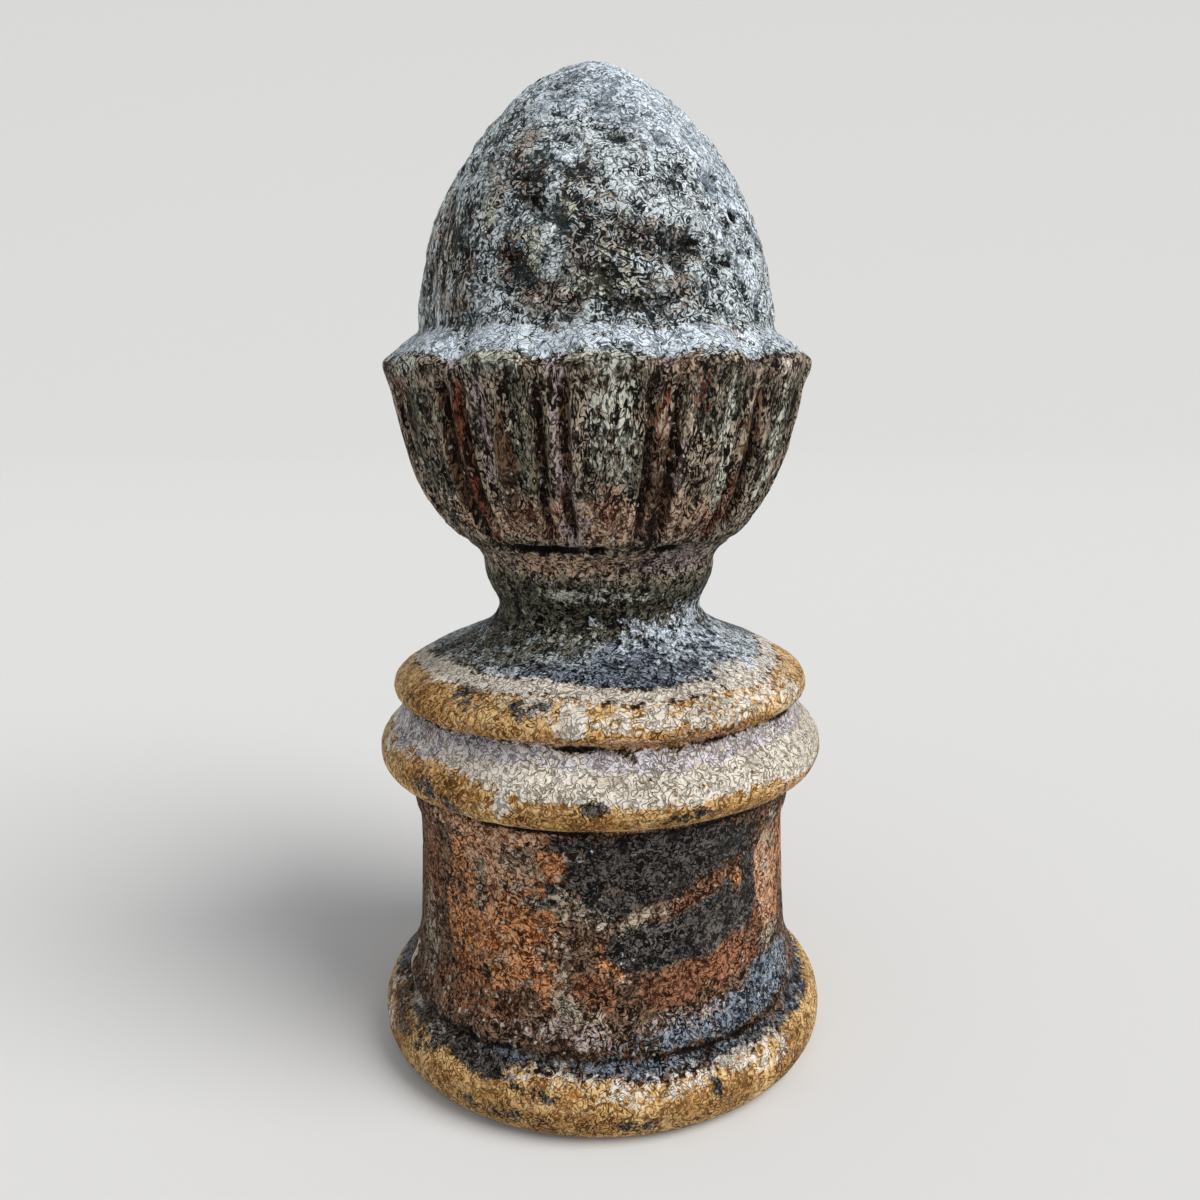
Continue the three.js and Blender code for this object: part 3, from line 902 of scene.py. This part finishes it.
PAINTS = {
    "clay": Paint(colour(116, 56, 20), colour(222, 156, 106), 0.51, 0.75, 0.75),
    "burnt": Paint(colour(62, 30, 14), colour(164, 112, 82), 0.46, 0.75, 0.75),
    "green_grey": Paint(colour(58, 64, 64), colour(214, 224, 227), 0.52, 0.7, 0.8),
    "cup_brown": Paint(colour(32, 22, 15), colour(178, 162, 142), 0.42, 0.75, 0.85),
    "olive": Paint(colour(20, 18, 13), colour(128, 123, 105), 0.36, 0.75, 0.8),
    "stain": Paint(colour(42, 35, 31), colour(172, 164, 154), 0.44, 0.75, 0.8),
    "umber": Paint(colour(64, 39, 25), colour(208, 176, 150), 0.55, 0.75, 0.78),
    "slate": Paint(colour(20, 26, 36), colour(142, 152, 165), 0.4, 0.5, 0.78),
    "old_gold": Paint(colour(152, 102, 46), colour(228, 190, 132), 0.54, 0.55, 0.55),
    # Browner gold, partly painted shade low on the rolls and on their left
    "ochre_and_shade": Paint(colour(108, 66, 26), colour(190, 144, 86), 0.5, 0.6, 0.62),
    "salmon": Paint(colour(142, 88, 54), colour(224, 180, 146), 0.52, 0.75, 0.62),
    "chalk": Paint(colour(182, 168, 148), colour(232, 224, 210), 0.58, 0.8, 0.46),
    "lilac": Paint(colour(154, 144, 144), colour(220, 214, 219), 0.56, 0.8, 0.5),
    "soot": Paint(colour(15, 13, 12), colour(104, 98, 93), 0.27, 0.45, 0.75),
    "buff": Paint(colour(58, 46, 34), colour(186, 172, 150), 0.46, 0.8, 0.8),
    "rust": Paint(colour(58, 23, 13), colour(140, 82, 60), 0.4, 0.75, 0.75),
    "lichen": Paint(colour(66, 66, 54), colour(208, 209, 194), 0.47, 0.85, 0.8),
    "plum": Paint(colour(52, 34, 31), colour(190, 172, 168), 0.46, 0.75, 0.75),
    # Pale paint with a painted sheen and painted highlights
    "pale_paint_and_sheen": Paint(colour(138, 150, 160), colour(226, 237, 247), 0.56, 0.42, 0.44),
    # Dark brown for the painted shade in the cup's grooves
    "groove": Paint(colour(34, 21, 13), colour(116, 88, 66), 0.34, 0.6, 0.6),
    # The black of the painted shade in the creases, slits and pits
    "shadow": Paint(colour(10, 9, 8), colour(44, 38, 34), 0.3, 0.8, 0.6),
}


class Bench:
    """The node tree of one finish, with a short word for each kind of node."""

    def __init__(self, name):
        self.material = bpy.data.materials.new(name)
        self.material.use_nodes = True
        self.nodes = self.material.node_tree.nodes
        self.shader = self.nodes["Principled BSDF"]

    def feed(self, socket, value):
        if isinstance(value, bpy.types.NodeSocket):
            self.material.node_tree.links.new(value, socket)
        else:
            socket.default_value = value

    def add(self, kind, sockets, **settings):
        node = self.nodes.new(kind)
        for name, value in settings.items():
            setattr(node, name, value)
        for name, value in sockets.items():
            self.feed(node.inputs[name], value)
        return node

    def place(self):
        return self.add("ShaderNodeTexCoord", {}).outputs["Object"]

    def stencil(self, name):
        return self.add("ShaderNodeAttribute", {}, attribute_name=name).outputs["Fac"]

    def reckon(self, operation, first, second=0.0, third=0.0):
        sockets = {0: first, 1: second, 2: third}
        return self.add("ShaderNodeMath", sockets, operation=operation).outputs[0]

    def squeeze(self, value, low, high, to_low=0.0, to_high=1.0):
        """A soft step of a value, from low to high."""
        sockets = {"Value": value, "From Min": low, "From Max": high, "To Min": to_low, "To Max": to_high}
        return self.add("ShaderNodeMapRange", sockets, interpolation_type="SMOOTHSTEP").outputs["Result"]

    def blend(self, share, first, second):
        return self.add("ShaderNodeMix", {0: share, 2: first, 3: second}).outputs[0]

    def blend_colour(self, share, first, second, how="MIX"):
        sockets = {0: share, 6: first, 7: second}
        return self.add("ShaderNodeMix", sockets, data_type="RGBA", blend_type=how).outputs[2]

    def noise(self, place, size, detail, roughness=0.55, distortion=0.0):
        """Noise about size millimetres from one blot to the next."""
        sockets = {"Vector": place, "Scale": 1 / (size * MM), "Detail": detail, "Roughness": roughness,
                   "Distortion": distortion}
        return self.add("ShaderNodeTexNoise", sockets)

    def noise_value(self, place, size, detail, roughness=0.55, distortion=0.0):
        return self.noise(place, size, detail, roughness, distortion).outputs["Fac"]

    def stretched(self, place, upwards):
        sockets = {"Vector": place, "Scale": (1, 1, 1 / upwards)}
        return self.add("ShaderNodeMapping", sockets).outputs["Vector"]

    def channels(self, picture):
        return self.add("ShaderNodeSeparateColor", {"Color": picture}).outputs

    def from_middle(self, pattern):
        """How far a pattern is from its middle value: 0 along lines that wander like cracks."""
        return self.reckon("ABSOLUTE", self.reckon("SUBTRACT", pattern, 0.5))

    def crack(self, away, crack):
        return self.squeeze(away, crack.full, crack.gone, crack.dark, 0.0)

    def tone(self, paint, pattern):
        """A paint's darker tone, with its lighter one where the pattern is high."""
        edge = 0.5 + (0.5 - paint.share) * 0.5
        light = self.squeeze(pattern, edge - TONE_SOFTNESS, edge + TONE_SOFTNESS)
        return self.blend_colour(light, paint.dark, paint.light)

    def dots(self, place, size, reach, plenty):
        """Ragged flecks in some of the cells, about size millimetres apart."""
        push = self.noise(place, FLECK_RAGGEDNESS, 2).outputs["Color"]
        pushed = self.add("ShaderNodeVectorMath", {0: push, 1: (size * MM,) * 3, 2: place},
                          operation="MULTIPLY_ADD").outputs[0]
        cells = self.add("ShaderNodeTexVoronoi", {"Vector": pushed, "Scale": 1 / (size * MM)}).outputs
        picks = self.channels(cells["Color"])
        away = self.reckon("DIVIDE", cells["Distance"], self.reckon("MULTIPLY_ADD", picks[1], 0.9, 0.4))
        near = self.squeeze(away, 0.6 * reach, reach, 1.0, 0.0)
        chance = self.reckon("ADD", picks[0], self.reckon("MULTIPLY", plenty, 0.8))
        return self.reckon("MULTIPLY", near, self.reckon("GREATER_THAN", chance, 1.0))


# How far apart the marks of each of the paint's patterns lie, in millimetres: where it is plain, and where
# it has run down
PATCHES = (10, 7)
FLAKES = (2.6, 2.0)
CRACKLE = (3.2, 2.4)
PLATES = (8, 5)
GRIT = 1.4
CROWDS = 15
CLOUDS = 24
FLECKS = 2.7
FLECK_RAGGEDNESS = 1.6
RUNS_DRAWN_OUT = 2.8

# How far from the middle value of its pattern a crack is still full, how far it is gone, and how dark it is
Crack = namedtuple("Crack", "full gone dark")

VEIN_CRACK = Crack(0.014, 0.056, 1.0)
HAIR_CRACK = Crack(0.004, 0.03, 0.6)
PLATE_CRACK = Crack(0.004, 0.016, 0.85)

# How much each pattern does to turn a spot of paint from its darker tone to its lighter one
DARKEST = -1.22
FLAKE_LIGHT = 1.2
PLATE_LIGHT = 1.0
GRIT_LIGHT = 0.9
LIFTED_LIGHT = 0.42
# High places of the relief are painted lighter, a painted highlight, and its hollows darker, a painted shade
PROUD_HIGHLIGHT_AND_SHADE = 0.22
TONE_SOFTNESS = 0.3

# How raggedly a paint's edge is broken by patches of wear and by flakes, and how soft that edge is
PATCH_BREAK = 1.5
FLAKE_BREAK = 1.7
EDGE_SOFTNESS = 0.14

FLECK_COLOUR = colour(206, 202, 186)
FLECK_COVER = 0.75

# The fine relief that the paint's thickness gives, and what each pattern adds to it
PAINT_THICKNESS = 1.4 * MM
FLAKE_RELIEF = 0.8
VEIN_RELIEF = 0.4
PLATE_RELIEF = 0.2

PAINT_GLOSS = 0.1


def weathered_paint():
    """Old paint over terracotta: worn to its ground, crazed, flaking and dusty, with painted shade in its
    creases, grooves and hollows and painted highlights and sheen.
    """
    bench = Bench("weathered_paint")
    place = bench.place()
    runs = bench.stretched(place, RUNS_DRAWN_OUT)
    streaky = bench.stencil("streaks")

    ragged = bench.blend_colour(streaky, bench.noise(place, PATCHES[0], 4, 0.65).outputs["Color"],
                                bench.noise(runs, PATCHES[1], 4, 0.65).outputs["Color"])
    ragged = bench.channels(ragged)
    flake = bench.blend(streaky, bench.noise_value(place, FLAKES[0], 3, 0.62, 0.5),
                        bench.noise_value(runs, FLAKES[1], 3, 0.62, 0.3))
    crackle = bench.blend(streaky, bench.noise_value(place, CRACKLE[0], 1.5, 0.5, 0.9),
                          bench.noise_value(runs, CRACKLE[1], 1.5, 0.5, 0.7))
    plates = bench.blend(streaky, bench.noise_value(place, PLATES[0], 2, 0.6, 0.8),
                         bench.noise_value(runs, PLATES[1], 2, 0.6, 0.4))
    grit = bench.noise_value(place, GRIT, 1.5, 0.6)
    crowded = bench.squeeze(bench.noise_value(place, CROWDS, 2), 0.4, 0.58, 0.5, 1.0)

    vein = bench.from_middle(crackle)
    hair = bench.from_middle(flake)
    split = bench.from_middle(plates)
    fine_crack = bench.reckon("MAXIMUM", bench.crack(vein, VEIN_CRACK), bench.crack(hair, HAIR_CRACK))
    fine_crack = bench.reckon("MULTIPLY", fine_crack, crowded)
    crack = bench.reckon("MAXIMUM", fine_crack, bench.crack(split, PLATE_CRACK))
    lifted = bench.reckon("MULTIPLY", bench.squeeze(vein, 0.05, 0.085), bench.squeeze(vein, 0.2, 0.1))
    lifted = bench.reckon("MULTIPLY", lifted, crowded)

    pattern = bench.reckon("MULTIPLY_ADD", flake, FLAKE_LIGHT, DARKEST)
    pattern = bench.reckon("MULTIPLY_ADD", plates, PLATE_LIGHT, pattern)
    pattern = bench.reckon("MULTIPLY_ADD", grit, GRIT_LIGHT, pattern)
    pattern = bench.reckon("MULTIPLY_ADD", lifted, LIFTED_LIGHT, pattern)
    # Painted highlight on the high places of the relief, painted shade in its hollows
    pattern = bench.reckon("MULTIPLY_ADD", bench.stencil("proudness"), PROUD_HIGHLIGHT_AND_SHADE, pattern)
    speckle = bench.reckon("MULTIPLY_ADD", flake, FLAKE_BREAK, -FLAKE_BREAK / 2)

    tint = bench.tone(GROUND, pattern)
    rough = GROUND.rough
    craze = GROUND.craze
    for turn, (name, paint) in enumerate(PAINTS.items(), start=1):
        broken = bench.reckon("MULTIPLY_ADD", ragged[turn % 3], PATCH_BREAK, -PATCH_BREAK / 2)
        broken = bench.reckon("ADD", broken, speckle)
        laid_on = bench.reckon("ADD", bench.stencil(name), broken)
        mask = bench.squeeze(laid_on, 0.5 - EDGE_SOFTNESS, 0.5 + EDGE_SOFTNESS)
        tint = bench.blend_colour(mask, tint, bench.tone(paint, pattern))
        rough = bench.blend(mask, rough, paint.rough)
        craze = bench.blend(mask, craze, paint.craze)

    fleck = bench.dots(place, FLECKS, 0.36, bench.stencil("flecked"))
    tint = bench.blend_colour(bench.reckon("MULTIPLY", fleck, FLECK_COVER), tint, FLECK_COLOUR)
    crazed = bench.reckon("SUBTRACT", 1.0, bench.reckon("MULTIPLY", crack, craze))
    # The painted shade of the creases and hollows, broken up by the flakes, darkens the colour
    shade_amount = bench.reckon("MULTIPLY", bench.stencil("painted_shade"), bench.squeeze(flake, 0.3, 0.7, 0.8, 0.45))
    unshaded = bench.reckon("SUBTRACT", 1.0, shade_amount)
    clouds = bench.reckon("MULTIPLY_ADD", bench.noise_value(place, CLOUDS, 2), 0.9, 0.64)
    shade = bench.reckon("MULTIPLY", bench.reckon("MULTIPLY", crazed, unshaded), clouds)
    tint = bench.blend_colour(1.0, tint, shade, "MULTIPLY")

    vein_edge = bench.squeeze(vein, 0.0, 0.06, 0.0, VEIN_RELIEF)
    plate_edge = bench.squeeze(split, 0.0, 0.02, 0.0, PLATE_RELIEF)
    relief = bench.reckon("MULTIPLY_ADD", flake, FLAKE_RELIEF, vein_edge)
    relief = bench.reckon("ADD", relief, plate_edge)
    bump = bench.add("ShaderNodeBump", {"Strength": 1.0, "Distance": PAINT_THICKNESS, "Height": relief})
    bench.feed(bench.shader.inputs["Base Color"], tint)
    bench.feed(bench.shader.inputs["Roughness"], rough)
    bench.feed(bench.shader.inputs["Specular IOR Level"], PAINT_GLOSS)
    bench.feed(bench.shader.inputs["Normal"], bump.outputs["Normal"])
    return bench.material


# The floor and the wall that it curves up into, in metres
FLOOR_SIZE = 8
WALL_HEIGHT = 5
WALL_CURVE = 2.2
WALL_CURVE_STEPS = 24
EDGE_MARGIN = 0.1
FLOOR_COLOUR = colour(222, 222, 221)
FLOOR_ROUGHNESS = 0.9


def plain_floor():
    bench = Bench("pale_floor")
    bench.feed(bench.shader.inputs["Base Color"], FLOOR_COLOUR)
    bench.feed(bench.shader.inputs["Roughness"], FLOOR_ROUGHNESS)
    return bench.material


def select_back_edge(backdrop):
    """Selects the edge along the back of the floor."""
    bpy.ops.mesh.select_all(action="DESELECT")
    mesh = bmesh.from_edit_mesh(backdrop.data)
    back = FLOOR_SIZE / 2 - EDGE_MARGIN
    for edge in mesh.edges:
        edge.select_set(all(vertex.co.y > back and vertex.co.z < EDGE_MARGIN for vertex in edge.verts))
    bmesh.update_edit_mesh(backdrop.data)


def add_backdrop():
    """A pale floor that curves up into a wall behind the finial."""
    bpy.ops.mesh.primitive_plane_add(size=FLOOR_SIZE, location=(0, 0, 0))
    backdrop = bpy.context.object
    backdrop.name = "backdrop"
    bpy.ops.object.mode_set(mode="EDIT")
    select_back_edge(backdrop)
    bpy.ops.mesh.extrude_region_move(TRANSFORM_OT_translate={"value": (0, 0, WALL_HEIGHT)})
    select_back_edge(backdrop)
    bpy.ops.mesh.bevel(offset=WALL_CURVE, segments=WALL_CURVE_STEPS, profile=0.5)
    bpy.ops.object.mode_set(mode="OBJECT")
    bpy.ops.object.shade_smooth()
    backdrop.data.materials.append(plain_floor())


# The soft sun: where it shines from, its strength, how many degrees wide it is, and its colour
KEY_PLACE = (1.3, -0.8, 1.6)
KEY_STRENGTH = 2.35
KEY_SPREAD = 40
KEY_COLOUR = (1.0, 0.98, 0.96)

SKY_COLOUR = (0.95, 0.97, 1.0, 1)
SKY_STRENGTH = 0.46


def add_key_light():
    bpy.ops.object.light_add(type="SUN", location=KEY_PLACE)
    light = bpy.context.object
    light.name = "key"
    light.data.energy = KEY_STRENGTH
    light.data.angle = math.radians(KEY_SPREAD)
    light.data.color = KEY_COLOUR
    light.rotation_euler = Vector(KEY_PLACE).to_track_quat("Z", "Y").to_euler()


def light_scene():
    world = bpy.data.worlds.new("studio")
    world.use_nodes = True
    sky = world.node_tree.nodes["Background"]
    sky.inputs["Color"].default_value = SKY_COLOUR
    sky.inputs["Strength"].default_value = SKY_STRENGTH
    bpy.context.scene.world = world
    bpy.context.scene.view_settings.view_transform = "Standard"
    add_key_light()


place_camera()
finial = rough_out()
work_relief(finial)
cut_stencils(finial)
finial.data.materials.append(weathered_paint())
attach(finial, "root")
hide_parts("acorn_finial")
add_backdrop()
light_scene()
